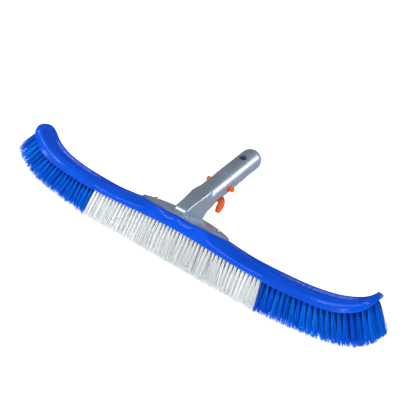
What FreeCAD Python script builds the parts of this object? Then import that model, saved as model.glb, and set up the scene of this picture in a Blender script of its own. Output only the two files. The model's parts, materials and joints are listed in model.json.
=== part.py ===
"""Curved pool wall brush: a moulded back with bristle rows, a cast handle and a sprung pole clip.

Frame, millimetres: X runs along the brush, +Y points back to the side the handle leans towards, Z is up.
The bristle tips of the straight middle section stand on Z = 0. The handle's axis leaves the plane X = 0
at (0, 0, handle_height) and rises towards +Y by handle_tilt. Handle parts are drawn in handle axes:
X as above, Y along the handle (called the station) and Z away from the handle's axis, upwards.
"""
import FreeCAD
import Part
import math
import os
import Sketcher

V = FreeCAD.Vector
doc = FreeCAD.newDocument("pool_wall_brush")

SIZES = [
    # moulded back
    ("body_half_width", 19.0),
    ("seat_height", 53.6), ("seat_radius", 560.0), ("seat_gap", 0.15),
    ("tip_rounding", 20.0), ("tip_thickness", 7.0), ("tip_nose", 5.0), ("tip_dish", 2.0),
    ("lip_reach", 2.4), ("lip_height", 5.2),
    # bristles
    ("white_half_length", 117.5), ("white_tufts", 48), ("blue_tufts", 21),
    ("row_count", 5), ("row_spacing", 7.5), ("row_thickness", 2.6), ("tuft_width", 1.6),
    ("tuft_hole_radius", 1.7), ("tuft_hole_depth", 4.2), ("tuft_root_depth", 2.5),
    ("anchor_width", 4.0), ("anchor_height", 1.3), ("anchor_thickness", 0.5),
    # handle casting
    ("handle_tilt", 29.0), ("handle_height", 58.5),
    ("plate_half_length", 60.5), ("plate_half_width", 14.6), ("plate_middle_y", 0.8),
    ("plate_crown_height", 4.7), ("plate_edge_height", 2.7), ("plate_end_drop", 4.8),
    ("socket_radius", 14.25), ("socket_root_radius", 13.9), ("socket_bore_radius", 11.75),
    ("socket_start", 35.0), ("flare_start", 12.0), ("flare_radius", 8.4), ("socket_step", 77.0),
    ("socket_end", 138.0), ("slot_half_width", 8.2),
    ("bore_start", 44.0), ("bore_end", 137.0), ("relief_start", 38.0), ("relief_end", 66.0),
    ("relief_top", 4.9), ("lock_hole_station", 118.0), ("lock_hole_radius", 5.2),
    ("rim_groove_radius", 0.8), ("rim_groove_drop", 3.4), ("post_radius", 2.5),
    # plate screws
    ("screw_station", 43.0), ("screw_head_radius", 3.5), ("screw_head_height", 2.1), ("screw_dome_radius", 4.2),
    ("screw_shank_radius", 1.95), ("screw_length", 11.2), ("screw_hole_radius", 2.0),
    # pole clip
    ("clip_middle", -0.3), ("clip_height", 7.0), ("pivot_station", 107.0), ("pivot_offset", 4.6),
    ("knuckle_radius", 1.7), ("knuckle_gap", 0.08), ("bow_width", 1.1), ("arm_width", 2.6),
    ("pin_station", 69.5), ("pin_radius", 3.2), ("pin_reach", 19.2), ("pin_rounding", 1.1), ("pin_hole_gap", 0.4),
    ("wing_inner", 13.4), ("wing_outer", 17.4), ("wing_start", 41.5), ("wing_end", 55.5),
    ("wing_top", 6.4), ("wing_bottom", 20.6), ("tab_length", 10.0), ("tab_bottom", 9.6), ("bridge_height", 3.6),
    ("clip_travel", 7.8),
]

sheet = doc.addObject("Spreadsheet::Sheet", "sizes")
for row, (alias, value) in enumerate(SIZES, start=1):
    sheet.set("A%d" % row, alias)
    sheet.set("B%d" % row, str(value))
    sheet.setAlias("B%d" % row, alias)
doc.recompute()


def size(alias):
    """The value of one driving dimension, from the sheet."""
    return float(sheet.get(alias))


def bind(item, **expressions):
    """Drive properties of a document object from the sheet: bind(cylinder, Radius="socket_radius")."""
    for prop, text in expressions.items():
        for alias, _ in SIZES:
            text = " ".join("sizes." + word if word == alias else word for word in text.split(" "))
        item.setExpression(prop, text)
    return item


def feature(name, shape, placement=None):
    """A document object that carries a shape made with Part's own functions."""
    item = doc.addObject("Part::Feature", name)
    item.Shape = shape
    if placement is not None:
        item.Placement = placement
    return item


TILT = math.radians(size("handle_tilt"))
HANDLE = FreeCAD.Placement(V(0, 0, size("handle_height")), FreeCAD.Rotation(V(1, 0, 0), size("handle_tilt")))


# ---------------------------------------------------------------------------- the brush's curved spine
# Right half of the underside, from the middle to the upturned tip: nearly level, then a tight curl.
UNDERSIDE = [(0, 39.6), (29, 38.9), (58.5, 37.3), (88, 35.8), (117, 35.5), (136.5, 36.0), (156, 37.2), (176, 39.1),
             (191, 41.3), (202, 44.4), (211.5, 48.6), (219.5, 54.2), (225.8, 60.8), (230.2, 68.0), (233.0, 76.0)]
# Bristle tips, in the same order: level under the middle, fanned out round the curl.
TIP_LINE = [(120.5, 0.0), (142, 2.6), (164, 4.4), (183, 6.8), (197.5, 9.2), (209, 11.6), (219.5, 14.8),
            (229, 19.0), (237, 24.4), (243.5, 30.4), (248.2, 37.0), (251.2, 44.0), (252.8, 51.0)]


def smooth_edge(points):
    curve = Part.BSplineCurve()
    curve.interpolate([V(x, 0, z) for x, z in points])
    return curve.toShape()


SPINE = smooth_edge([(-x, z) for x, z in reversed(UNDERSIDE[1:])] + UNDERSIDE)
TIPS = smooth_edge(TIP_LINE)
SPINE_HALF = SPINE.Length / 2


def spine_frame(distance):
    """Point, tangent and upward normal of the underside at a signed distance along it from the middle."""
    parameter = SPINE.getParameterByLength(SPINE_HALF + distance)
    point = SPINE.valueAt(parameter)
    tangent = SPINE.tangentAt(parameter)
    return point, tangent, V(-tangent.z, 0, tangent.x)


def smooth_along(table, distance):
    """Monotone cubic interpolation in a table of (distance, value): smooth, with no overshoot."""
    slopes = [(b[1] - a[1]) / (b[0] - a[0]) for a, b in zip(table, table[1:])]
    tangents = [slopes[0]] + [2 * p * q / (p + q) if p * q > 0 else 0.0 for p, q in zip(slopes, slopes[1:])]
    tangents.append(slopes[-1])
    for i, ((a, low), (b, high)) in enumerate(zip(table, table[1:])):
        if distance <= b:
            span = b - a
            u = (distance - a) / span
            return ((2 * u ** 3 - 3 * u ** 2 + 1) * low + (u ** 3 - 2 * u ** 2 + u) * span * tangents[i]
                    + (3 * u ** 2 - 2 * u ** 3) * high + (u ** 3 - u ** 2) * span * tangents[i + 1])
    return table[-1][1]


def smooth_step(value, start, end):
    ratio = min(max((value - start) / (end - start), 0.0), 1.0)
    return ratio * ratio * (3 - 2 * ratio)


# ---------------------------------------------------------------------------- moulded back
# Tables of (distance from the middle, value): height of the crests, their half spacing, and the dish between.
CREST_HEIGHT = [(0, 14.2), (29, 14.3), (60, 13.7), (73, 12.8), (88, 11.6), (102, 10.7), (119, 10.1), (137, 9.8),
                (154, 9.6), (180, 10.3), (200, 11.1), (300, 11.1)]
CREST_SPREAD = [(0, 14.0), (20, 13.4), (39, 10.4), (51, 6.6), (61, 3.6), (73, 4.0), (88, 6.0), (102, 8.2),
                (119, 10.6), (139, 12.3), (300, 12.5)]
DISH_DEPTH = [(0, 0.0), (64, 0.0), (88, 1.2), (109, 3.0), (140, 4.6), (300, 4.8)]


def half_width(distance):
    """Half width of the back: full to the curl, then an elliptical rounded tip."""
    start = SPINE_HALF - size("tip_rounding")
    ratio = max(distance - start, 0.0) / size("tip_rounding")
    return size("body_half_width") * math.sqrt(max(1 - ratio ** 2.15, 0.0))


def back_profile(distance):
    """Closed section of the back in (y, height): flat underside, rounded flanks, a dished top."""
    far = abs(distance)
    width = half_width(far)
    scale = width / size("body_half_width")
    to_tip = smooth_step(far, SPINE_HALF - 45, SPINE_HALF)
    height = smooth_along(CREST_HEIGHT, far) * (1 - to_tip) + size("tip_thickness") * to_tip
    crest = (smooth_along(CREST_SPREAD, far) + 2.4 * to_tip) * scale
    rim_round_tip = smooth_step(far, SPINE_HALF - 11, SPINE_HALF - 3)
    dish = (smooth_along(DISH_DEPTH, far) * (1 - to_tip) + size("tip_dish") * to_tip) * (1 - rim_round_tip)
    rise = 0.1 * dish
    nearly_out = max(far - SPINE_HALF + size("tip_nose"), 0.0) / size("tip_nose")
    flatten = math.sqrt(max(1 - nearly_out ** 2, 0.0))
    lift = (1 - flatten) * height / 2
    half = [(width, 0), (width + 0.5 * scale, 0.16 * height), (width - 0.12 * (width - crest), 0.58 * height),
            (crest + 1.9 * scale, 0.98 * height), (crest * 0.97, height * 1.02 + rise),
            (crest * 0.84, height + rise), (crest * 0.7, height - 0.95 * dish), (crest * 0.46, height - dish)]
    section = half + [(0, height - dish)] + [(-y, z) for y, z in reversed(half)]
    return [(y, lift + z * flatten) for y, z in section]


def to_world(distance, y, height):
    point, _, normal = spine_frame(distance)
    return V(point.x, y, point.z) + normal * height


def back_section(distance):
    poles = [to_world(distance, y, z) for y, z in back_profile(distance)]
    top = Part.BSplineCurve()
    spans = len(poles) - 3
    top.buildFromPolesMultsKnots(poles, [4] + [1] * (spans - 1) + [4], list(range(spans + 1)), False, 3)
    return Part.Wire([top.toShape(), Part.makeLine(poles[-1], poles[0])])


def make_half_back():
    """The back from its middle plane to the right tip. The loft starts beyond the middle and is cut there."""
    plain = [-44, -22, 0, 22, 44, 60, 72, 86, 100, 115, 130, 146, 162, 178, 192, 205]
    tip_start = SPINE_HALF - size("tip_rounding")
    tip = [tip_start + size("tip_rounding") * r for r in (0.0, 0.25, 0.48, 0.66, 0.8, 0.9, 0.96, 0.99)]
    stations = [d for d in plain if d < tip_start - 6] + tip
    whole = Part.makeLoft([back_section(d) for d in stations], True, False)
    return whole.cut(Part.makeBox(100, 100, 100, V(-100, -50, 0)))


def lip_section(distance, side, fade):
    """Bevelled strip along the lower edge: a small shelf under a slope that faces up and outwards."""
    width = half_width(abs(distance))
    reach = size("lip_reach") * fade
    shelf = 0.2
    points = [(width - 3.0, shelf), (width + reach, shelf), (width + reach, 1.0), (width - 0.9, size("lip_height")),
              (width - 3.0, size("lip_height") - 0.4)]
    corners = [to_world(distance, side * y, z) for y, z in points]
    return Part.makePolygon(corners + corners[:1])


def make_lips():
    """Strips along both edges of the right blue section, stepping up where the colour changes."""
    start = size("white_half_length") + 0.4
    end = SPINE_HALF - size("tip_rounding") * 0.55
    lips = []
    for side in (-1, 1):
        sections = []
        for step in range(13):
            ratio = step / 12
            fade = 1 - smooth_step(ratio, 0.62, 1.0) * 0.85
            sections.append(lip_section(start + (end - start) * ratio, side, fade))
        lips.append(Part.makeLoft(sections, True, True))
    return lips


# ---------------------------------------------------------------------------- where the tufts stand
def tuft_distances(section):
    """Signed distances along the spine of one section's tufts: white, left or right."""
    white = size("white_half_length")
    if section == "white":
        count = int(size("white_tufts"))
        return [-white + 2 * white * (i + 0.5) / count for i in range(count)]
    count = int(size("blue_tufts"))
    last = SPINE_HALF - 10.0
    distances = [white + (last - white) * (i + 0.5) / (count - 0.5) for i in range(count)]
    return distances if section == "right" else [-d for d in reversed(distances)]


def row_offsets():
    count = int(size("row_count"))
    return [size("row_spacing") * (i - (count - 1) / 2) for i in range(count)]


def tuft_fits(distance, y):
    """A tuft needs its hole and a wall round it inside the rounded tip."""
    return abs(y) + size("tuft_hole_radius") + 0.8 < half_width(abs(distance))


def tufts_of(section, y):
    return [d for d in tuft_distances(section) if tuft_fits(d, y)]


def tip_point(distance):
    """Where the tuft rooted at this distance ends."""
    white = size("white_half_length")
    if abs(distance) <= white:
        return V(distance * TIP_LINE[0][0] / white, 0, 0)
    ratio = min((abs(distance) - white) / (SPINE_HALF - white), 1.0)
    point = TIPS.valueAt(TIPS.getParameterByLength(TIPS.Length * ratio))
    return V(math.copysign(point.x, distance), 0, point.z)


def bristle_row(section, y):
    """One row of tufts as a comb: narrow roots in their holes, spreading until they touch."""
    stations = tufts_of(section, y)
    pitch = stations[1] - stations[0]
    grip = size("tuft_width") / 2
    outline = []
    for index, distance in enumerate(stations):
        point, tangent, normal = spine_frame(distance)
        left = point - tangent * grip
        right = point + tangent * grip
        outline += [left, left + normal * size("tuft_root_depth"), right + normal * size("tuft_root_depth"), right]
        if index + 1 < len(stations):
            between = distance + pitch / 2
            root, _, _ = spine_frame(between)
            outline.append(root + (tip_point(between) - root) * 0.45)
    edges = [stations[0] - pitch / 2] + [d + pitch / 2 for d in stations]
    limit = SPINE_HALF
    outline += [tip_point(max(min(d, limit), -limit)) for d in reversed(edges)]
    outline = [V(p.x, y - size("row_thickness") / 2, p.z) for p in outline]
    face = Part.Face(Part.makePolygon(outline + outline[:1]))
    return face.extrude(V(0, size("row_thickness"), 0))


def tuft_holes():
    """The blind holes of the right half."""
    holes = []
    for y in row_offsets():
        for section in ("white", "right"):
            for distance in [d for d in tufts_of(section, y) if d > 0]:
                point, _, normal = spine_frame(distance)
                start = V(point.x, y, point.z) - normal
                holes.append(Part.makeCylinder(size("tuft_hole_radius"), size("tuft_hole_depth") + 1, start, normal))
    return holes


def tuft_anchors(section):
    """The flat wire staples that hold the folded tufts at the bottom of their holes."""
    wide, thick, tall = size("anchor_width"), size("anchor_thickness"), size("anchor_height")
    anchors = []
    for y in row_offsets():
        for distance in tufts_of(section, y):
            point, tangent, normal = spine_frame(distance)
            low = size("tuft_hole_depth") - tall - 0.1
            staple = Part.makeBox(wide, thick, tall, V(-wide / 2, -thick / 2, low))
            turn = FreeCAD.Rotation(V(1, 0, 0), tangent)
            staple.Placement = FreeCAD.Placement(V(point.x, y, point.z), turn)
            anchors.append(staple)
    return Part.makeCompound(anchors)


# ---------------------------------------------------------------------------- handle casting
def plate_outline(grow, low, high):
    """Boat-shaped plan of the base plate as a prism, grown outwards by a gap."""
    length = size("plate_half_length") + grow
    width = size("plate_half_width") + grow
    middle = size("plate_middle_y")
    tip = 2.2
    share = [(0.0, 1.0), (0.26, 0.97), (0.5, 0.82), (0.7, 0.6), (0.86, 0.36)]
    right = [V(length * x, middle - width * y, low) for x, y in share]
    front = [V(-p.x, p.y, low) for p in reversed(right[1:])] + right
    corner = V(length - 1.0, middle - tip * 0.7, low)
    front = [V(-corner.x, corner.y, low)] + front + [corner]
    back = [V(p.x, 2 * middle - p.y, low) for p in front]
    curves = []
    for points in (front, back):
        curve = Part.BSplineCurve()
        curve.interpolate(points)
        curves.append(curve.toShape())
    caps = []
    for side in (-1, 1):
        ends = [V(side * corner.x, corner.y, low), V(side * length, middle, low),
                V(side * corner.x, 2 * middle - corner.y, low)]
        caps.append(Part.Arc(*ends).toShape())
    wire = Part.Wire(Part.__sortEdges__(curves + caps))
    return Part.Face(wire).extrude(V(0, 0, high - low))


def crown_solid(low, middle_top, edge_drop, end_drop):
    """A large doubly curved cushion that rounds the plate's top across and along."""
    width, length = size("plate_half_width"), size("plate_half_length")
    middle = size("plate_middle_y")
    across = (width ** 2 + edge_drop ** 2) / (2 * edge_drop)
    along_radius = (length ** 2 + end_drop ** 2) / (2 * end_drop)
    reach = width + 4
    drop = across - math.sqrt(across ** 2 - reach ** 2)
    left = V(0, middle - reach, middle_top - drop)
    right = V(0, middle + reach, middle_top - drop)
    arc = Part.Arc(left, V(0, middle, middle_top), right).toShape()
    base_left = V(0, left.y, low - 12)
    base_right = V(0, right.y, low - 12)
    wire = Part.Wire([arc, Part.makeLine(right, base_right), Part.makeLine(base_right, base_left),
                      Part.makeLine(base_left, left)])
    centre = V(0, 0, middle_top - along_radius)
    face = Part.Face(wire)
    sweep = math.degrees(math.asin((length + 4) / along_radius))
    face.rotate(centre, V(0, 1, 0), -sweep)
    return face.revolve(centre, V(0, 1, 0), 2 * sweep)


def below_seat():
    """Everything under the seat: a long cylinder across the brush, so the seat arches a little along it."""
    radius = size("seat_radius")
    return Part.makeCylinder(radius, 200, V(0, -100, size("seat_height") - radius), V(0, 1, 0))


def make_plate():
    top = size("seat_height") + size("plate_crown_height")
    prism = plate_outline(0, size("seat_height") - 8, top + 8)
    crown = crown_solid(size("seat_height"), top, size("plate_crown_height") - size("plate_edge_height"),
                        size("plate_end_drop"))
    return prism.common(crown).cut(below_seat())


# Neck sections along the handle: station, top, top half width, crease radius, bottom, bottom half width.
NECK = [(-15.8, 5.2, 6.4, 2.6, -0.6, 8.4), (-15.3, 7.6, 7.7, 3.2, -1.8, 9.7), (-14.2, 9.6, 8.5, 3.5, -3.0, 10.5),
        (-12.4, 11.2, 8.9, 3.4, -4.2, 11.0),
        (-9.5, 12.3, 9.0, 2.8, -5.2, 11.0), (-4, 12.9, 8.7, 2.4, -6.5, 10.6), (5, 13.2, 8.9, 2.3, -11.0, 11.2),
        (12, 13.6, 9.4, 2.4, -14.0, 12.2), (17.5, 13.9, 9.9, 2.6, -13.0, 12.9), (21, 14.05, 10.4, 2.9, -9.2, 13.2),
        (26, 14.2, 10.9, 3.5, -7.2, 13.3), (34, 14.0, 10.7, 5.0, -6.9, 13.0), (43, 13.3, 9.4, 6.4, -6.4, 12.2)]


def neck_section(station, top, top_half, crease, bottom, bottom_half):
    """Tongue with a flat top and sides that sweep down and outwards in a shallow hollow."""
    hollow = 0.9
    side = top - crease
    bend = crease * (1 - math.sqrt(0.5))
    right_bottom = V(bottom_half, station, bottom)
    right_middle = V((top_half + bottom_half) / 2 - hollow, station, (side + bottom) / 2)
    right_top = V(top_half, station, side)
    right_bend = V(top_half - bend, station, top - bend)
    shoulder = V(top_half - crease, station, top)

    def flip(point):
        return V(-point.x, point.y, point.z)

    return Part.Wire([Part.makeLine(flip(right_bottom), right_bottom),
                      Part.Arc(right_bottom, right_middle, right_top).toShape(),
                      Part.Arc(right_top, right_bend, shoulder).toShape(),
                      Part.makeLine(shoulder, flip(shoulder)),
                      Part.Arc(flip(shoulder), flip(right_bend), flip(right_top)).toShape(),
                      Part.Arc(flip(right_top), flip(right_middle), flip(right_bottom)).toShape()])


def make_neck():
    """The neck in handle axes, before it is set on the plate."""
    first, last = NECK[0][0], NECK[-1][0]
    count = 24
    columns = [[(row[0], row[column]) for row in NECK] for column in range(1, 6)]
    sections = []
    for step in range(count + 1):
        station = first + (last - first) * (step / count) ** 1.5
        sections.append(neck_section(station, *[smooth_along(column, station) for column in columns]))
    return Part.makeLoft(sections, True, False)


def cylinder(name, along_axis, start, **expressions):
    """A native cylinder whose axis lies along X or Y from a start point."""
    item = doc.addObject("Part::Cylinder", name)
    bind(item, **expressions)
    turn = {"x": FreeCAD.Rotation(V(0, 1, 0), 90), "y": FreeCAD.Rotation(V(1, 0, 0), -90),
            "z": FreeCAD.Rotation()}[along_axis]
    item.Placement = FreeCAD.Placement(start, turn)
    return item


def box(name, low, **expressions):
    item = doc.addObject("Part::Box", name)
    bind(item, **expressions)
    item.Placement.Base = low
    return item


def sphere(name, centre, radius_alias):
    item = doc.addObject("Part::Sphere", name)
    bind(item, Radius=radius_alias)
    item.Placement.Base = centre
    return item


def fuse(name, parts):
    item = doc.addObject("Part::MultiFuse", name)
    item.Shapes = parts
    return item


def cut(name, base, tool):
    item = doc.addObject("Part::Cut", name)
    item.Base = base
    item.Tool = tool
    return item


def make_casting():
    """One aluminium die casting: base plate, neck and open-backed socket for the pole."""
    start, step, end = size("socket_start"), size("socket_step"), size("socket_end")
    root = cylinder("socket_root", "y", V(0, start, 0), Radius="socket_root_radius",
                    Height="socket_step - socket_start")
    flare = doc.addObject("Part::Cone", "socket_flare")
    bind(flare, Radius1="flare_radius", Radius2="socket_root_radius", Height="socket_start - flare_start")
    flare.Placement = FreeCAD.Placement(V(0, size("flare_start"), 0), FreeCAD.Rotation(V(1, 0, 0), -90))
    front = cylinder("socket_front", "y", V(0, step, 0), Radius="socket_radius", Height="socket_end - socket_step")
    # its seam runs between the slot and a rim groove
    front.Placement = front.Placement * FreeCAD.Placement(V(0, 0, 0), FreeCAD.Rotation(V(0, 0, 1), 22.5))
    nose = sphere("socket_nose", V(0, end, 0), "socket_radius")
    neck = feature("neck", make_neck())
    solid = fuse("socket_solid", [neck, flare, root, front, nose])

    slot = size("slot_half_width")
    bore = cylinder("socket_bore", "y", V(0, size("bore_start"), 0), Radius="socket_bore_radius",
                    Height="bore_end - bore_start")
    bore_dome = sphere("socket_bore_dome", V(0, size("bore_end"), 0), "socket_bore_radius")
    back_slot = box("back_slot", V(-slot, size("bore_start"), -20), Length="2 * slot_half_width",
                    Width="bore_end - bore_start", Height="socket_bore_radius + 8")
    relief = box("wing_relief", V(-20, size("relief_start"), -30), Length="40 * 1",
                 Width="relief_end - relief_start", Height="30 - relief_top")
    pin_slots = []
    drift = (size("pin_reach") - size("pivot_offset")) * math.sin(math.radians(size("clip_travel")))
    for index, share in enumerate((-0.15, 0.35, 0.85)):
        pin_slots.append(cylinder("pin_slot_%d" % index, "x", V(-20, size("pin_station") - share * drift,
                         -size("clip_middle")), Radius="pin_radius + pin_hole_gap", Height="40 * 1"))
    lock_hole = cylinder("lock_hole", "z", V(0, size("lock_hole_station"), 4), Radius="lock_hole_radius",
                         Height="socket_radius + 6")
    drop = size("rim_groove_drop")
    groove_x = math.sqrt(size("socket_radius") ** 2 - drop ** 2) + 0.25
    grooves = []
    for side, name in ((-1, "left"), (1, "right")):
        grooves.append(cylinder("rim_groove_" + name, "y", V(side * groove_x, step + 4, -drop),
                                Radius="rim_groove_radius", Height="socket_end - socket_step - 13"))
    removed = fuse("socket_cuts", [bore, bore_dome, back_slot, relief, lock_hole] + pin_slots + grooves)
    hollow = cut("socket_hollow", solid, removed)

    post = cylinder("clip_post", "z", V(0, size("pivot_station"), -size("clip_middle") - size("clip_height") / 2),
                    Radius="post_radius", Height="socket_bore_radius + clip_height / 2 + clip_middle + 1")
    upper = fuse("casting_upper", [hollow, post])
    upper.Placement = HANDLE
    doc.recompute()

    plate = feature("base_plate", make_plate())
    joined = fuse("casting_joined", [upper, plate])
    below = cylinder("below_seat", "y", V(0, -100, size("seat_height") - size("seat_radius")), Radius="seat_radius",
                     Height="200 * 1")
    screw_holes = []
    for side in (-1, 1):
        name = "left" if side < 0 else "right"
        place = V(side * size("screw_station"), size("plate_middle_y"), size("seat_height") - 5)
        screw_holes.append(cylinder("plate_hole_" + name, "z", place, Radius="screw_hole_radius + 0.25",
                                    Height="plate_crown_height + 7"))
        screw_holes.append(cylinder("spot_face_" + name, "z", V(place.x, place.y, seat_top(size("screw_station"))),
                                    Radius="screw_head_radius + 0.3", Height="screw_head_height + 2"))
    toe_undercut = box("toe_undercut", V(-15, -25, 40), Length="30 * 1",
                       Width="25 + plate_middle_y - plate_half_width", Height="seat_height + 0.8 - 40")
    casting = cut("handle_casting", joined, fuse("casting_cuts", [below, toe_undercut] + screw_holes))
    casting.Label = "handle_casting"
    return casting


def seat_top(x):
    """Height of the plate's top under a screw head."""
    length, drop = size("plate_half_length"), size("plate_end_drop")
    radius = (length ** 2 + drop ** 2) / (2 * drop)
    return size("seat_height") + size("plate_crown_height") - (radius - math.sqrt(radius ** 2 - x ** 2))


def make_brush_body():
    """One half of the moulding with its seat, pilot hole and tuft holes, joined to its mirror image."""
    half = make_half_back().fuse(make_lips())
    pocket = plate_outline(size("seat_gap"), size("seat_height") - 8, size("seat_height") + 14)
    half = half.cut(pocket.cut(below_seat()))
    top = V(size("screw_station"), size("plate_middle_y"), size("seat_height") + 2)
    bottom = seat_top(size("screw_station")) - size("screw_length") - 0.4
    half = half.cut(Part.makeCylinder(size("screw_hole_radius"), top.z - bottom, top, V(0, 0, -1)))
    half = half.cut(Part.makeCompound(tuft_holes()))
    return feature("brush_body", half.fuse(half.mirror(V(0, 0, 0), V(1, 0, 0))))


# ---------------------------------------------------------------------------- plate screws
def make_screws():
    """Two pan-head screws with cross recesses, one near each end of the plate."""
    top = seat_top(size("screw_station"))
    shank = cylinder("screw_shank", "z", V(0, 0, -size("screw_length")), Radius="screw_shank_radius",
                     Height="screw_length + 0.5")
    disc = cylinder("screw_head_disc", "z", V(0, 0, 0), Radius="screw_head_radius", Height="screw_head_height")
    dome = sphere("screw_head_dome", V(0, 0, size("screw_head_height") - size("screw_dome_radius")),
                  "screw_dome_radius")
    head = doc.addObject("Part::MultiCommon", "screw_head")
    head.Shapes = [disc, dome]
    solid = fuse("screw_solid", [shank, head])
    slots = []
    for name, x, y in (("across", 4.4, 0.9), ("along", 0.9, 4.4)):
        slots.append(box("recess_" + name, V(-x / 2, -y / 2, size("screw_head_height") - 1.1),
                         Length="%s * 1" % x, Width="%s * 1" % y, Height="3 * 1"))
    screw = cut("screw", solid, fuse("recess", slots))
    doc.recompute()
    pair = []
    for side in (-1, 1):
        copy = screw.Shape.copy()
        copy.Placement = FreeCAD.Placement(V(side * size("screw_station"), size("plate_middle_y"), top),
                                           FreeCAD.Rotation(V(0, 0, 1), 20 * side))
        pair.append(copy)
    return feature("plate_screws", Part.makeCompound(pair))


# ---------------------------------------------------------------------------- pole clip
def new_body(name):
    body = doc.addObject("PartDesign::Body", name)
    plane = [p for p in body.Origin.OriginFeatures if p.Role == "XY_Plane"][0]
    return body, plane


def new_sketch(body, plane, name, height):
    sketch = body.newObject("Sketcher::SketchObject", name)
    sketch.AttachmentSupport = (plane, "")
    sketch.MapMode = "FlatFace"
    sketch.AttachmentOffset = FreeCAD.Placement(V(0, 0, height), FreeCAD.Rotation())
    return sketch


def draw_loop(sketch, points):
    """A closed run of straight lines joined end to end."""
    count = len(points)
    first = sketch.GeometryCount
    for index in range(count):
        sketch.addGeometry(Part.LineSegment(V(*points[index], 0), V(*points[(index + 1) % count], 0)), False)
    for index in range(count):
        sketch.addConstraint(Sketcher.Constraint("Coincident", first + index, 2, first + (index + 1) % count, 1))


def draw_circle(sketch, x, y, radius_expression):
    index = sketch.addGeometry(Part.Circle(V(x, y, 0), V(0, 0, 1), 1.0), False)
    sketch.addConstraint(Sketcher.Constraint("DistanceX", -1, 1, index, 3, x))
    sketch.addConstraint(Sketcher.Constraint("DistanceY", -1, 1, index, 3, y))
    radius = sketch.addConstraint(Sketcher.Constraint("Radius", index, 1.0))
    sketch.setExpression("Constraints[%d]" % radius, radius_expression)


def pad(body, sketch, name, length_expression, tool="Pad"):
    item = body.newObject("PartDesign::" + tool, name)
    item.Profile = sketch
    item.setExpression("Length", length_expression)
    sketch.Visibility = False
    return item


def clip_floor():
    return -size("clip_middle") - size("clip_height") / 2


def knuckle_offset():
    """Distance of a knuckle's axis from the middle plane: a little outside the middle of its lug."""
    return size("pivot_offset") + 0.9


def make_clip_bow():
    """The bow of the clip: a ring round the casting's post with a cup at each side for an arm."""
    body, plane = new_body("clip_bow")
    station, offset = size("pivot_station"), size("pivot_offset")
    sketch = new_sketch(body, plane, "bow_ring", clip_floor())
    draw_circle(sketch, 0, station, "sizes.post_radius + 0.1")
    draw_circle(sketch, 0, station, "sizes.post_radius + 0.1 + sizes.bow_width")
    pad(body, sketch, "bow_ring_pad", "sizes.clip_height")
    for side, name in ((-1, "left"), (1, "right")):
        sketch = new_sketch(body, plane, "bow_lug_" + name, clip_floor())
        draw_loop(sketch, [(side * (offset - 1.6), station + 3.4), (side * (offset + 3.3), station + 3.4),
                           (side * (offset + 3.3), station - 0.9), (side * (offset - 1.6), station - 0.9)])
        pad(body, sketch, "bow_lug_pad_" + name, "sizes.clip_height")
    doc.recompute()
    for side, name in ((-1, "left"), (1, "right")):
        sketch = new_sketch(body, plane, "bow_cup_" + name, clip_floor() - 1)
        draw_circle(sketch, side * knuckle_offset(), station, "sizes.knuckle_radius + sizes.knuckle_gap")
        cup = pad(body, sketch, "bow_cup_pocket_" + name, "sizes.clip_height + 2", "Pocket")
        cup.Reversed = True
        doc.recompute()
    body.Placement = HANDLE
    return body


def leaf_outline(centre, half_length, top, bottom):
    """Finger wing seen from the side: a leaf with a blunt top, leaning towards the brush as it goes down."""
    height = top - bottom
    lean = 1.8
    outline = []
    for step in range(20):
        angle = 2 * math.pi * step / 20
        across = math.copysign(abs(math.cos(angle)) ** 0.8, math.cos(angle))
        along = math.copysign(abs(math.sin(angle)) ** 0.9, math.sin(angle))
        outline.append((centre + half_length * across + lean * along, (top + bottom) / 2 + height / 2 * along))
    return outline


def edges_where(item, test):
    """Names of the edges of a feature that pass a test."""
    return ["Edge%d" % number for number, edge in enumerate(item.Shape.Edges, start=1) if test(edge)]


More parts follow.
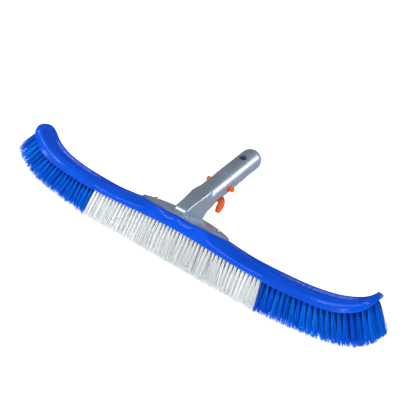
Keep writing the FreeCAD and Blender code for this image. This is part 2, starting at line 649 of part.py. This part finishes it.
def make_clip_arm(name, side):
    """One arm of the clip: knuckle, blade, pole pin and the finger wing that hangs below the socket."""
    body, plane = new_body(name)
    station, knuckle_x, pin = size("pivot_station"), knuckle_offset(), size("pin_station")
    inner = size("slot_half_width") - 0.4
    outer = inner + size("arm_width")
    wing_inner, wing_outer = size("wing_inner"), size("wing_outer")
    start, end = size("wing_start"), size("wing_end")
    blade_end = end - 3.0
    tab_end = blade_end + size("tab_length")

    def mirror(points):
        return [(side * x, y) for x, y in points]

    sketch = new_sketch(body, plane, name + "_knuckle", clip_floor())
    draw_circle(sketch, side * knuckle_x, station, "sizes.knuckle_radius")
    pad(body, sketch, name + "_knuckle_pad", "sizes.clip_height")
    sketch = new_sketch(body, plane, name + "_blade", clip_floor())
    draw_loop(sketch, mirror([(knuckle_x - 1.1, station - 0.6), (knuckle_x + 1.1, station - 0.6), (outer, pin + 12),
                              (outer, blade_end), (inner, blade_end), (inner, pin + 12)]))
    pad(body, sketch, name + "_blade_pad", "sizes.clip_height")
    sketch = new_sketch(body, plane, name + "_tab", -size("tab_bottom"))
    draw_loop(sketch, mirror([(inner, blade_end), (outer, blade_end), (outer, tab_end), (inner, tab_end)]))
    pad(body, sketch, name + "_tab_pad", "sizes.tab_bottom")
    sketch = new_sketch(body, plane, name + "_bridge", -size("tab_bottom"))
    draw_loop(sketch, mirror([(inner, blade_end), (inner, tab_end), (wing_outer, end - 0.5), (wing_outer, end - 9),
                              (wing_inner, end - 9)]))
    pad(body, sketch, name + "_bridge_pad", "sizes.bridge_height")
    doc.recompute()

    side_plane = [p for p in body.Origin.OriginFeatures if p.Role == "YZ_Plane"][0]
    sketch = new_sketch(body, side_plane, name + "_wing", wing_inner if side > 0 else -wing_outer)
    draw_loop(sketch, leaf_outline((start + end) / 2, (end - start) / 2, -size("wing_top"), -size("wing_bottom")))
    pad(body, sketch, name + "_wing_pad", "sizes.wing_outer - sizes.wing_inner")

    sketch = new_sketch(body, side_plane, name + "_pin", side * (outer - 0.5))
    draw_circle(sketch, pin, -size("clip_middle"), "sizes.pin_radius")
    stub = pad(body, sketch, name + "_pin_pad", "sizes.pin_reach - sizes.slot_half_width - sizes.arm_width + 0.9")
    stub.Reversed = side < 0
    doc.recompute()
    rounding = body.newObject("PartDesign::Fillet", name + "_pin_rounding")
    rounding.Base = (stub, edges_where(stub, lambda edge: edge.Closed and abs(
        edge.CenterOfMass.x - side * size("pin_reach")) < 0.01))
    rounding.setExpression("Radius", "sizes.pin_rounding")
    doc.recompute()
    body.Placement = HANDLE
    return body


# ---------------------------------------------------------------------------- the assembly
nodes = {"brush_body": make_brush_body(), "handle_casting": make_casting(), "plate_screws": make_screws(),
         "clip_bow": make_clip_bow(), "clip_arm_left": make_clip_arm("clip_arm_left", -1),
         "clip_arm_right": make_clip_arm("clip_arm_right", 1)}
for section_name in ("left", "white", "right"):
    for number, offset_y in enumerate(row_offsets(), start=1):
        label = "bristles_%s_row_%d" % (section_name, number)
        nodes[label] = feature(label, bristle_row(section_name, offset_y))
    label = "tuft_anchors_" + section_name
    nodes[label] = feature(label, tuft_anchors(section_name))

doc.recompute()
for item in doc.Objects:
    if "Invalid" in item.State or "Error" in item.State:
        raise RuntimeError("failed: " + item.Name)
os.makedirs("parts", exist_ok=True)
for label, item in nodes.items():
    item.Label = label
    if item.Shape.isNull() or not item.Shape.isValid():
        raise RuntimeError("bad shape: " + label)
    item.Shape.exportStep("parts/%s.step" % label)
    print(label, len(item.Shape.Solids), round(item.Shape.Volume, 1), item.Shape.BoundBox)
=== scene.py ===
import bpy
import json
import math
import numpy as np
from mathutils import Matrix, Vector


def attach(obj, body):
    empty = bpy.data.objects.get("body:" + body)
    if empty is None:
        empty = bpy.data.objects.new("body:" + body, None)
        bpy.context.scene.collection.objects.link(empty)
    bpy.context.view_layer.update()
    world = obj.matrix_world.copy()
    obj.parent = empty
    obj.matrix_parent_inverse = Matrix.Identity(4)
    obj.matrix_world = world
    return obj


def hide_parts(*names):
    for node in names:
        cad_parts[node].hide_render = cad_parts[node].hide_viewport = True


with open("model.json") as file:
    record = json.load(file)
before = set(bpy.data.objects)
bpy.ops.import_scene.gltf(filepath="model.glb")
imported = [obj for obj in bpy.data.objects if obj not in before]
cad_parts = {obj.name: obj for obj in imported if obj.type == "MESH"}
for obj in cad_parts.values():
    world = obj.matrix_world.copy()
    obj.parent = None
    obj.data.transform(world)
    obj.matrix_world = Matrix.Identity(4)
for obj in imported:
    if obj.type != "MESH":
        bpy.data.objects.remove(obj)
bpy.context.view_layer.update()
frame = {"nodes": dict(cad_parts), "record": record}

MM = 0.001

# ---------------------------------------------------------------------------- camera and lights
# The camera's right, down and forward directions in the row frame, and its place.
RIGHT = Vector((0.8140, 0.4622, 0.3518))
DOWN = Vector((0.4148, -0.0387, -0.9091))
FORWARD = Vector((-0.4065, 0.8859, -0.2233))
EYE = Vector((300.0, -614.5, 230.9)) * MM
SENSOR_MM, LENS_MM = 36.0, 54.6954

camera_data = bpy.data.cameras.new("camera")
camera_data.sensor_width = SENSOR_MM
camera_data.lens = LENS_MM
camera_data.clip_start = 10 * MM
camera = bpy.data.objects.new("camera", camera_data)
turn = Matrix((RIGHT.normalized(), -DOWN.normalized(), -FORWARD.normalized())).transposed()
camera.matrix_world = Matrix.Translation(EYE) @ turn.to_4x4()
bpy.context.scene.collection.objects.link(camera)
bpy.context.scene.camera = camera
bpy.context.scene.view_settings.view_transform = "Standard"


def area_light(name, place, target, size, power):
    """A white rectangle of light; place, target and size in metres, power in watts."""
    data = bpy.data.lights.new(name, "AREA")
    data.shape = "RECTANGLE"
    data.size, data.size_y = size
    data.energy = power
    light = bpy.data.objects.new(name, data)
    light.location = place
    light.rotation_euler = (Vector(target) - Vector(place)).to_track_quat("-Z", "Y").to_euler()
    bpy.context.scene.collection.objects.link(light)
    return light


# The key light, behind and to the right, draws the highlight along the socket's right shoulder.
area_light("key_light", (0.95, 0.60, 1.05), (0, 0, 0.05), (0.30, 0.20), 3.5)
# The edge light, a long strip above the front, glints on the lips, the screws and the toe of the handle.
area_light("edge_light", (-0.42, -0.65, 0.70), (-0.42, 0, 0.05), (0.76, 0.09), 3.0)
# The soft light beside the camera only brightens; its reflection would wash out the glossy blue.
fill_light = area_light("fill_light", (0.25, -1.1, 0.75), (0, 0, 0.05), (1.2, 0.9), 7)
fill_light.visible_glossy = False


WHITE_STRENGTH = 1.05
ROOM_COLOR = (0.93, 0.96, 1.0, 1)
ROOM_DIM, ROOM_BRIGHT = 0.24, 0.44
BRIGHT_SIDE = (0.80, 0.10, -0.45)


def studio_world():
    """White where the camera looks; a softer grey room, brighter to the right and below, for what it lights."""
    world = bpy.data.worlds.new("studio")
    world.use_nodes = True
    tree = world.node_tree
    room = tree.nodes["Background"]
    white = tree.nodes.new("ShaderNodeBackground")
    white.inputs["Color"].default_value = (1, 1, 1, 1)
    white.inputs["Strength"].default_value = WHITE_STRENGTH
    where = tree.nodes.new("ShaderNodeTexCoord")
    side = tree.nodes.new("ShaderNodeVectorMath")
    side.operation = "DOT_PRODUCT"
    side.inputs[1].default_value = BRIGHT_SIDE
    tree.links.new(where.outputs["Generated"], side.inputs[0])
    shade = tree.nodes.new("ShaderNodeMapRange")
    shade.interpolation_type = "SMOOTHSTEP"
    shade.inputs["From Min"].default_value = -0.7
    shade.inputs["From Max"].default_value = 0.7
    shade.inputs["To Min"].default_value = ROOM_DIM
    shade.inputs["To Max"].default_value = ROOM_BRIGHT
    tree.links.new(side.outputs["Value"], shade.inputs["Value"])
    room.inputs["Color"].default_value = ROOM_COLOR
    tree.links.new(shade.outputs["Result"], room.inputs["Strength"])
    path = tree.nodes.new("ShaderNodeLightPath")
    mix = tree.nodes.new("ShaderNodeMixShader")
    tree.links.new(path.outputs["Is Camera Ray"], mix.inputs["Fac"])
    tree.links.new(room.outputs["Background"], mix.inputs[1])
    tree.links.new(white.outputs["Background"], mix.inputs[2])
    tree.links.new(mix.outputs["Shader"], tree.nodes["World Output"].inputs["Surface"])
    return world


bpy.context.scene.world = studio_world()


# ---------------------------------------------------------------------------- material helpers
class Nodes:
    """Short way to build a node tree."""

    def __init__(self, name):
        self.material = bpy.data.materials.new(name)
        self.material.use_nodes = True
        self.tree = self.material.node_tree
        self.shader = self.tree.nodes["Principled BSDF"]

    def add(self, kind):
        return self.tree.nodes.new(kind)

    def link(self, source, target):
        self.tree.links.new(source, target)

    def coordinates(self, scale=(1, 1, 1)):
        """Object coordinates in metres, each axis stretched by its scale."""
        place = self.add("ShaderNodeTexCoord")
        mapping = self.add("ShaderNodeMapping")
        mapping.inputs["Scale"].default_value = scale
        self.link(place.outputs["Object"], mapping.inputs["Vector"])
        return mapping.outputs["Vector"]

    def noise(self, vector, scale, detail=3.0, roughness=0.5):
        node = self.add("ShaderNodeTexNoise")
        node.inputs["Scale"].default_value = scale
        node.inputs["Detail"].default_value = detail
        node.inputs["Roughness"].default_value = roughness
        self.link(vector, node.inputs["Vector"])
        return node.outputs["Fac"]

    def ramp(self, source, stops):
        """Colours at their places along the source's 0 to 1."""
        node = self.add("ShaderNodeValToRGB")
        elements = node.color_ramp.elements
        while len(elements) < len(stops):
            elements.new(0.5)
        for element, (place, color) in zip(elements, stops):
            element.position = place
            element.color = (*color, 1)
        self.link(source, node.inputs["Fac"])
        return node.outputs["Color"]

    def spread(self, source, low, high, start=0.0, end=1.0):
        """The source's start to end, spread over low to high."""
        node = self.add("ShaderNodeMapRange")
        node.inputs["From Min"].default_value = start
        node.inputs["From Max"].default_value = end
        node.inputs["To Min"].default_value = low
        node.inputs["To Max"].default_value = high
        self.link(source, node.inputs["Value"])
        return node.outputs["Result"]

    def bump(self, height, strength, distance, after=None):
        node = self.add("ShaderNodeBump")
        node.inputs["Strength"].default_value = strength
        node.inputs["Distance"].default_value = distance
        self.link(height, node.inputs["Height"])
        if after is not None:
            self.link(after, node.inputs["Normal"])
        return node.outputs["Normal"]

    def set(self, **values):
        """Constants on the shader's own sockets."""
        for key, value in values.items():
            self.shader.inputs[key.replace("_", " ")].default_value = value


def moulded_plastic(name, dark, light, roughness):
    """Injection-moulded plastic: faint flow marks in the colour, orange peel and fine rub marks."""
    n = Nodes(name)
    where = n.coordinates()
    flow = n.noise(n.coordinates((6, 30, 30)), 3.0, 2.0)
    n.link(n.ramp(flow, [(0.35, dark), (0.65, light)]), n.shader.inputs["Base Color"])
    rub = n.noise(n.coordinates((40, 400, 400)), 6.0, 4.0, 0.6)
    n.link(n.spread(rub, roughness - 0.04, roughness + 0.07, 0.3, 0.7), n.shader.inputs["Roughness"])
    peel = n.noise(where, 260.0, 2.0)
    wave = n.noise(where, 45.0, 1.0)
    low = n.bump(wave, 0.10, 0.0008)
    n.link(n.bump(peel, 0.06, 0.0002, low), n.shader.inputs["Normal"])
    n.set(IOR=1.49, Specular_IOR_Level=0.18)
    return n.material


def cast_metal(name):
    """Tumbled aluminium die casting: satin, with a fine grain, soft waves and a few darker patches; its blue tint is
    a painted reflection.
    """
    n = Nodes(name)
    where = n.coordinates()
    patch = n.noise(where, 28.0, 3.0, 0.6)
    # Both colours carry a blue tint that bare aluminium lacks: a painted reflection of bluish surroundings.
    n.link(n.ramp(patch, [(0.3, (0.53, 0.63, 0.77)), (0.7, (0.63, 0.73, 0.87))]), n.shader.inputs["Base Color"])
    grain = n.noise(where, 900.0, 3.0, 0.7)
    n.link(n.spread(patch, 0.30, 0.44, 0.3, 0.7), n.shader.inputs["Roughness"])
    wave = n.noise(where, 90.0, 2.0)
    low = n.bump(wave, 0.18, 0.0006)
    n.link(n.bump(grain, 0.22, 0.00012, low), n.shader.inputs["Normal"])
    n.set(Metallic=0.95)
    return n.material


def turned_steel(name):
    """Plated steel with fine turning marks round the screws' axes."""
    n = Nodes(name)
    grain = n.noise(n.coordinates((1, 1, 12)), 700.0, 2.0)
    n.link(n.ramp(grain, [(0.3, (0.6, 0.61, 0.63)), (0.7, (0.8, 0.81, 0.83))]), n.shader.inputs["Base Color"])
    n.link(n.spread(grain, 0.2, 0.34), n.shader.inputs["Roughness"])
    n.link(n.bump(grain, 0.1, 0.0001), n.shader.inputs["Normal"])
    n.set(Metallic=1.0)
    return n.material


def nylon(name, colors, roughness, root_painted_shade):
    """Bristle filaments: each strand has its own random tone (its shade attribute), stored with the mesh, and
    painted shade darkens it towards its root, where the tufts shade each other.
    """
    n = Nodes(name)
    shade = n.add("ShaderNodeAttribute")
    shade.attribute_name = "shade"
    along = n.add("ShaderNodeAttribute")
    along.attribute_name = "along"
    base = n.ramp(shade.outputs["Fac"], [(0.0, colors[0]), (0.5, colors[1]), (1.0, colors[2])])
    # Painted shade: the colour is multiplied darker near the root, where neighbouring tufts and the back shade the
    # filaments.
    root = n.ramp(along.outputs["Fac"], [(0.0, (root_painted_shade,) * 3), (0.4, (1, 1, 1)), (1.0, (1, 1, 1))])
    mix = n.add("ShaderNodeMix")
    mix.data_type = "RGBA"
    mix.blend_type = "MULTIPLY"
    mix.inputs["Factor"].default_value = 1.0
    n.link(base, mix.inputs["A"])
    n.link(root, mix.inputs["B"])
    n.link(mix.outputs["Result"], n.shader.inputs["Base Color"])
    fleck = n.noise(n.coordinates((1, 1, 0.2)), 900.0, 2.0)
    n.link(n.spread(fleck, roughness - 0.08, roughness + 0.1), n.shader.inputs["Roughness"])
    n.link(n.bump(fleck, 0.1, 0.0001), n.shader.inputs["Normal"])
    n.set(IOR=1.53, Specular_IOR_Level=0.1)
    return n.material


BLUE = moulded_plastic("blue_moulding", (0.000, 0.068, 0.60), (0.000, 0.084, 0.70), 0.18)
ORANGE = moulded_plastic("orange_clip", (0.86, 0.115, 0.012), (0.95, 0.15, 0.02), 0.36)
METAL = cast_metal("cast_aluminium")
STEEL = turned_steel("plated_steel")
WHITE_SHADES = [(0.82, 0.86, 0.86), (0.88, 0.92, 0.92), (0.93, 0.95, 0.95)]
BLUE_SHADES = [(0.000, 0.07, 0.62), (0.000, 0.15, 0.86), (0.000, 0.30, 1.0)]
# The last number of each nylon sets how dark the painted shade at the filaments' roots is.
WHITE_NYLON = nylon("white_nylon", WHITE_SHADES, 0.5, 0.86)
BLUE_NYLON = nylon("blue_nylon", BLUE_SHADES, 0.42, 0.45)

LOOK = {"blue_plastic": BLUE, "cast_aluminium": METAL, "steel": STEEL, "orange_plastic": ORANGE, "wire": STEEL,
        "blue_bristle": BLUE_NYLON, "white_bristle": WHITE_NYLON}
for part in frame["record"]["subparts"]:
    node = frame["nodes"][part["node"]]
    node.data.materials.clear()
    node.data.materials.append(LOOK[part["material_slot"]])

# ---------------------------------------------------------------------------- bristles
# Right half of the back's underside and of the bristle tips, in millimetres, as the CAD has them.
UNDERSIDE = [(0, 39.6), (29, 38.9), (58.5, 37.3), (88, 35.8), (117, 35.5), (136.5, 36.0), (156, 37.2), (176, 39.1),
             (191, 41.3), (202, 44.4), (211.5, 48.6), (219.5, 54.2), (225.8, 60.8), (230.2, 68.0), (233.0, 76.0)]
TIP_LINE = [(120.5, 0.0), (142, 2.6), (164, 4.4), (183, 6.8), (197.5, 9.2), (209, 11.6), (219.5, 14.8),
            (229, 19.0), (237, 24.4), (243.5, 30.4), (248.2, 37.0), (251.2, 44.0), (252.8, 51.0)]
WHITE_HALF, WHITE_TUFTS, BLUE_TUFTS = 117.5, 48, 21
ROWS, ROW_SPACING, HOLE_RADIUS = 5, 7.5, 1.7
HALF_WIDTH, TIP_ROUNDING, ROUNDING_POWER = 19.0, 20.0, 2.15
HOLE_MARGIN = 0.8  # plastic left between a tuft hole and the edge of the back
END_MARGIN = 10.0  # from the last tuft to the tip of the back, along the underside
# A filament starts this deep in its hole, and its tuft is still a round bundle just below the hole.
START_DEPTH, BUNDLE_END, BUNDLE_GROWTH = 2.0, 1.5, 1.04
ROW_FILL = 0.55  # a tuft's reach across the brush at the tips, as a share of the row spacing
RINGS, SIDES = 6, 3  # of each filament's prism
TIP_TAPER = 0.75
SPLINE_STEPS = 24
rng = np.random.default_rng(7)


def spline(points):
    """Dense, evenly spaced points along a smooth curve through the given ones, with the length so far."""
    points = np.array(points, float)
    grown = np.vstack([2 * points[0] - points[1], points, 2 * points[-1] - points[-2]])
    pieces = []
    for a, b, c, d in zip(grown, grown[1:], grown[2:], grown[3:]):
        u = np.linspace(0, 1, SPLINE_STEPS, endpoint=False)[:, None]
        pieces.append(0.5 * (2 * b + (c - a) * u + (2 * a - 5 * b + 4 * c - d) * u ** 2
                             + (3 * b - a - 3 * c + d) * u ** 3))
    line = np.vstack(pieces + [points[-1:]])
    length = np.concatenate([[0], np.cumsum(np.linalg.norm(np.diff(line, axis=0), axis=1))])
    return line, length


mirrored = [(-x, z) for x, z in reversed(UNDERSIDE[1:])]
SPINE, SPINE_LENGTH = spline(mirrored + UNDERSIDE)
HALF = SPINE_LENGTH[-1] / 2
TIPS, TIPS_LENGTH = spline(TIP_LINE)


def at_length(line, length, where):
    """(x, z) on a line at these distances along it."""
    return np.stack([np.interp(where, length, line[:, 0]), np.interp(where, length, line[:, 1])], axis=-1)


def root_at(distance):
    """(x, z) of the underside and the unit direction into the back, at signed distances from the middle."""
    here = at_length(SPINE, SPINE_LENGTH, HALF + distance)
    ahead, behind = (at_length(SPINE, SPINE_LENGTH, HALF + distance + shift) for shift in (0.5, -0.5))
    step = ahead - behind
    step /= np.linalg.norm(step, axis=-1, keepdims=True)
    return here, np.stack([-step[..., 1], step[..., 0]], axis=-1)


def tip_at(distance):
    """(x, z) where a filament rooted at this distance ends: straight under the middle, fanned round the curl."""
    far = np.abs(distance)
    share = np.clip((far - WHITE_HALF) / (HALF - WHITE_HALF), 0, 1)
    fan = at_length(TIPS, TIPS_LENGTH, TIPS_LENGTH[-1] * share)
    middle = np.stack([far * TIP_LINE[0][0] / WHITE_HALF, np.zeros_like(far)], axis=-1)
    point = np.where((far > WHITE_HALF)[..., None], fan, middle)
    return np.stack([np.copysign(point[..., 0], distance), point[..., 1]], axis=-1)


def half_width(far):
    """Half the back's width at this distance from the middle, rounded off at the tip."""
    ratio = np.clip(far - (HALF - TIP_ROUNDING), 0, None) / TIP_ROUNDING
    return HALF_WIDTH * np.sqrt(np.clip(1 - ratio ** ROUNDING_POWER, 0, None))


def tufts(section, y):
    """Signed distances of the tufts of one row of one section, as in the CAD."""
    if section == "white":
        distances = -WHITE_HALF + 2 * WHITE_HALF * (np.arange(WHITE_TUFTS) + 0.5) / WHITE_TUFTS
    else:
        last = HALF - END_MARGIN
        distances = WHITE_HALF + (last - WHITE_HALF) * (np.arange(BLUE_TUFTS) + 0.5) / (BLUE_TUFTS - 0.5)
        distances = distances if section == "right" else -distances[::-1]
    return distances[np.abs(y) + HOLE_RADIUS + HOLE_MARGIN < half_width(np.abs(distances))]


def disc(count, radius):
    """Random points spread evenly over a disc."""
    angle = rng.uniform(0, 2 * math.pi, count)
    reach = radius * np.sqrt(rng.uniform(0, 1, count))
    return reach * np.cos(angle), reach * np.sin(angle)


def prism_turn(distance, y):
    """A fixed turn for a tuft's prisms, so that neighbours don't line up."""
    return (distance * 1.7 + y * 0.9) % (2 * math.pi)


def tuft_points(distance, y, pitch, per_tuft, thickness, ragged, fan, root, opening, loose):
    """One tuft: its filaments' corner points, ring by ring, and each filament's shade.

    It leaves its hole as a round bundle of radius root and spreads over fan of the pitch, the later the higher
    opening is. The tips end up to about ragged short of the trim line, and stray by loose.
    """
    tuft_shade = rng.normal(0.5, 0.10)
    lean = rng.normal(0, 0.05 + 0.27 * ragged, 2)
    root_u, root_y = disc(per_tuft, root)
    spread_u = root_u * pitch * fan / root + lean[0] + rng.normal(0, loose, per_tuft)
    spread_y = root_y * ROW_SPACING * ROW_FILL / root + lean[1] + rng.normal(0, loose, per_tuft)
    base, inward = root_at(distance)
    along_root = np.array([inward[1], -inward[0]])
    start = base + inward * START_DEPTH + root_u[:, None] * along_root
    leave = base - inward * BUNDLE_END + root_u[:, None] * BUNDLE_GROWTH * along_root
    end = tip_at(distance + spread_u)
    trim = rng.normal(0, 1, per_tuft) * ragged + rng.normal(0, ragged * 0.6)
    reach = end - leave
    length = np.linalg.norm(reach, axis=1, keepdims=True)
    end = end - reach / length * (np.abs(trim)[:, None] + 0.05)
    bow = rng.normal(0, 1.6 * loose, per_tuft)
    across = np.stack([reach[:, 1], -reach[:, 0]], axis=1) / length
    turn = prism_turn(distance, y)
    corners = []
    for ring in range(RINGS):
        if ring == 0:
            point, side_y = start, y + root_y
        else:
            down = (ring - 1) / (RINGS - 2)
            ease = down ** opening
            point = leave + (end - leave) * down + across * (bow * math.sin(math.pi * down) * 0.8)[:, None]
            side_y = y + root_y * (1 - ease) + spread_y * ease
        radius = thickness / 2 * (1.0 if ring < RINGS - 1 else TIP_TAPER)
        for side in range(SIDES):
            angle = 2 * math.pi * side / SIDES + turn
            corners.append(np.stack([point[:, 0] + radius * math.cos(angle), side_y + radius * math.sin(angle),
                                     point[:, 1]], axis=1))
    return corners, np.clip(tuft_shade + rng.normal(0, 0.22, per_tuft), 0, 1)


def strand_faces(strands):
    """Sides and tip caps of this many filaments, whose corners are numbered ring by ring."""
    first = (np.arange(strands) * RINGS * SIDES)[:, None, None]
    ring = (np.arange(RINGS - 1) * SIDES)[None, :, None]
    corner = np.arange(SIDES)[None, None, :]
    after = (corner + 1) % SIDES
    quads = np.stack([first + ring + corner, first + ring + after, first + ring + SIDES + after,
                      first + ring + SIDES + corner], axis=-1).reshape(-1, 4)
    caps = (np.arange(strands) * RINGS * SIDES)[:, None] + (RINGS - 1) * SIDES + np.arange(SIDES)[None, :]
    return quads.tolist() + caps.tolist()


def bristle_row(name, section, y, material, node, per_tuft, **look):
    """All filaments of one row as one mesh, in place of the CAD's plain tufts."""
    distances = tufts(section, y)
    pitch = abs(distances[1] - distances[0])
    corners, shades = [], []
    for distance in distances:
        tuft_corners, tuft_shades = tuft_points(distance, y, pitch, per_tuft, **look)
        corners += tuft_corners
        shades.append(tuft_shades)
    count = len(distances)
    grid = np.stack(corners).reshape(count, RINGS, SIDES, per_tuft, 3).transpose(0, 3, 1, 2, 4)
    strands = count * per_tuft
    mesh = bpy.data.meshes.new(name)
    mesh.from_pydata((grid.reshape(-1, 3) * MM).tolist(), [], strand_faces(strands))
    shade = np.repeat(np.concatenate(shades), RINGS * SIDES)
    # along runs from 0 at a filament's root to 1 at its tip; the nylon material uses it to paint shade near the
    # root.
    along = np.tile(np.repeat(np.linspace(0, 1, RINGS), SIDES), strands)
    for attribute, values in (("shade", shade), ("along", along)):
        layer = mesh.attributes.new(attribute, "FLOAT", "POINT")
        layer.data.foreach_set("value", values.astype(np.float32))
    mesh.polygons.foreach_set("use_smooth", np.ones(len(mesh.polygons), bool))
    mesh.materials.append(material)
    mesh.update()
    piece = bpy.data.objects.new(name, mesh)
    bpy.context.scene.collection.objects.link(piece)
    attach(piece, "brush")
    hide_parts(node)
    return piece


WHITE_ROW = dict(per_tuft=64, thickness=0.48, material=WHITE_NYLON, ragged=0.25, fan=0.72, root=1.45,
                 opening=0.8, loose=0.14)
BLUE_ROW = dict(per_tuft=46, thickness=0.50, material=BLUE_NYLON, ragged=1.5, fan=0.50, root=1.15,
                opening=1.15, loose=0.35)
for section in ("left", "white", "right"):
    look, slot = (WHITE_ROW, "white_bristle") if section == "white" else (BLUE_ROW, "blue_bristle")
    for number in range(ROWS):
        y = ROW_SPACING * (number - (ROWS - 1) / 2)
        place = "%s_%d" % (section, number + 1)
        piece = bristle_row("filaments_" + place, section, y, node="bristles_" + place.replace("_", "_row_"), **look)

# ---------------------------------------------------------------------------- floor
FLOOR_HALF = 9
FLOOR_CORNERS = [(x * FLOOR_HALF, y * FLOOR_HALF, 0) for x, y in ((-1, -1), (1, -1), (1, 1), (-1, 1))]
floor_mesh = bpy.data.meshes.new("floor")
floor_mesh.from_pydata(FLOOR_CORNERS, [], [(0, 1, 2, 3)])
floor = bpy.data.objects.new("floor", floor_mesh)
floor.location.z = -0.2 * MM
paint = Nodes("floor_paint")
grain = paint.noise(paint.coordinates(), 60.0, 2.0)
pale = paint.ramp(grain, [(0.3, (0.90, 0.90, 0.90)), (0.7, (0.93, 0.93, 0.93))])
paint.link(pale, paint.shader.inputs["Base Color"])
paint.set(Roughness=0.9, Emission_Color=(1, 1, 1, 1), Emission_Strength=0.95)
floor_mesh.materials.append(paint.material)
bpy.context.scene.collection.objects.link(floor)
# The floor brightens but isn't mirrored: its reflection would bleach the metal and the glossy blue.
floor.visible_glossy = False
